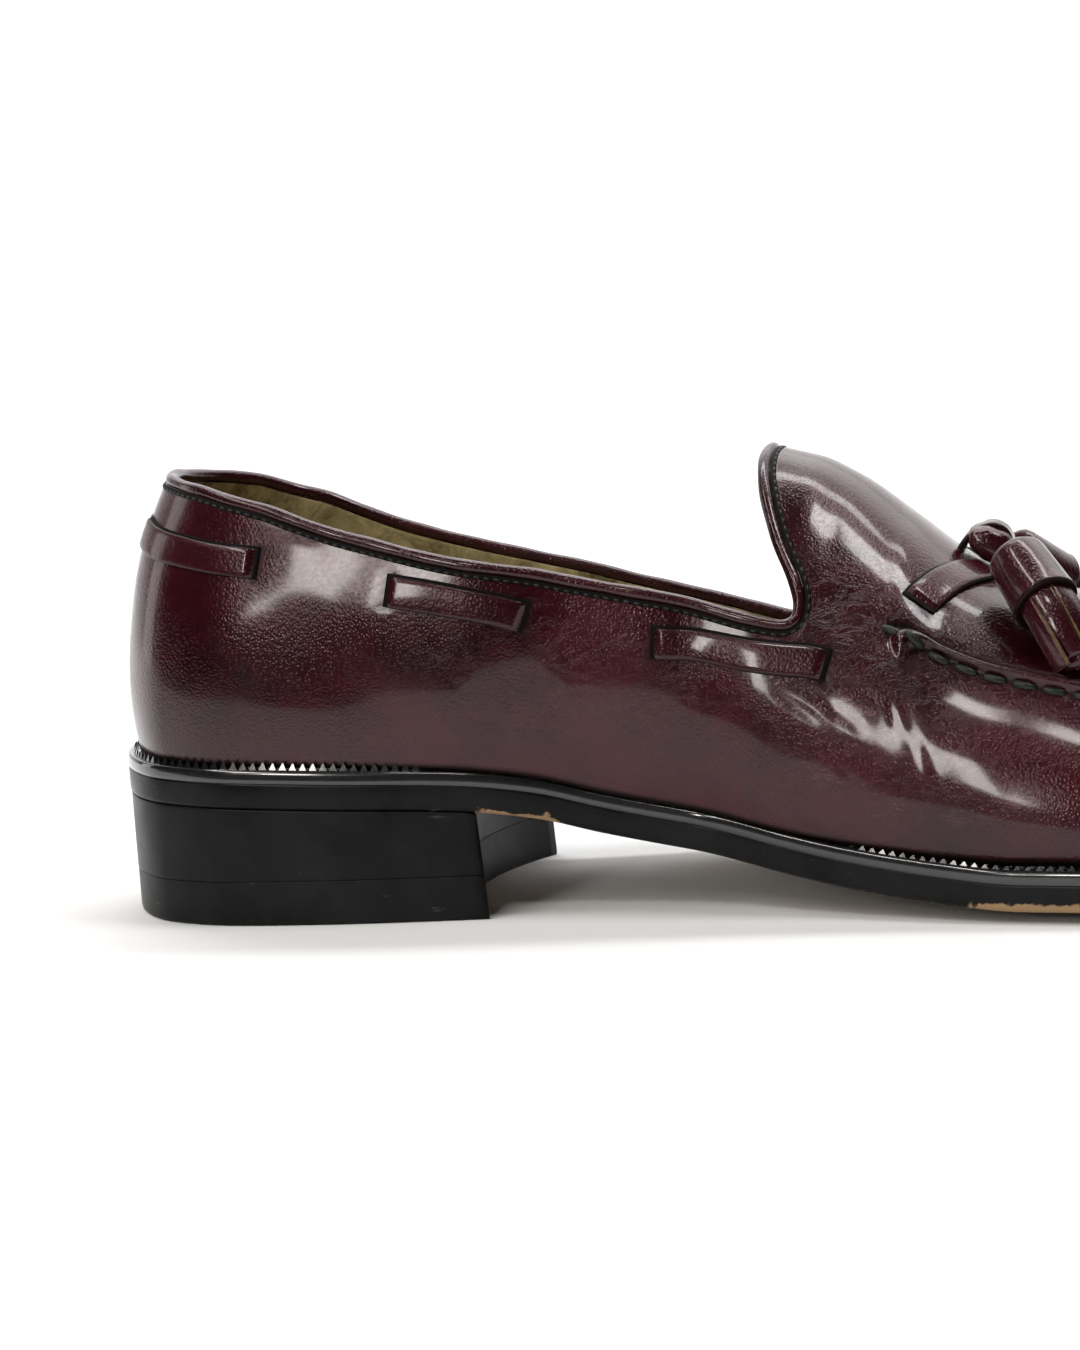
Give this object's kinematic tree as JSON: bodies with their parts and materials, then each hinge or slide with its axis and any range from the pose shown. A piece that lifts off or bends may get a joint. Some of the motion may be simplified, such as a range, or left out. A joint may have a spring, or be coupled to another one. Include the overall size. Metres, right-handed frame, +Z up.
{
  "type": "tassel loafer",
  "caption": "Left slip-on leather shoe with a low bound collar, a threaded side lace, a knot with fringed tassels on the vamp, a raised apron seam, a welted sole and a stacked heel.",
  "frame": {"origin": "the middle of the flat underside of the heel, on the floor", "axes": "+X towards the toe, +Y towards the outer side of the foot, +Z up from the floor"},
  "size_m": [0.3038, 0.1051, 0.0906],
  "materials": {
    "upper_leather": "polished",
    "trim_leather": "polished",
    "lace_leather": "polished",
    "sole_leather": "satin edge",
    "welt_leather": "satin",
    "heel_leather": "satin",
    "top_lift_rubber": "satin",
    "insole_leather": "matt"
  },
  "bodies": {
    "root": {"outsole": "sole_leather", "welt": "welt_leather", "heel_stack": "heel_leather", "top_lift": "top_lift_rubber", "insole": "insole_leather", "upper": "upper_leather", "collar_binding": "trim_leather", "lace_rear_medial": "lace_leather", "lace_middle_medial": "lace_leather", "lace_front_medial": "lace_leather", "lace_rear_lateral": "lace_leather", "lace_middle_lateral": "lace_leather", "lace_front_lateral": "lace_leather", "vamp_strap_medial": "lace_leather", "vamp_strap_lateral": "lace_leather", "knot": "lace_leather", "tassel_medial": "lace_leather", "tassel_lateral": "lace_leather"}
  },
  "joints": []
}
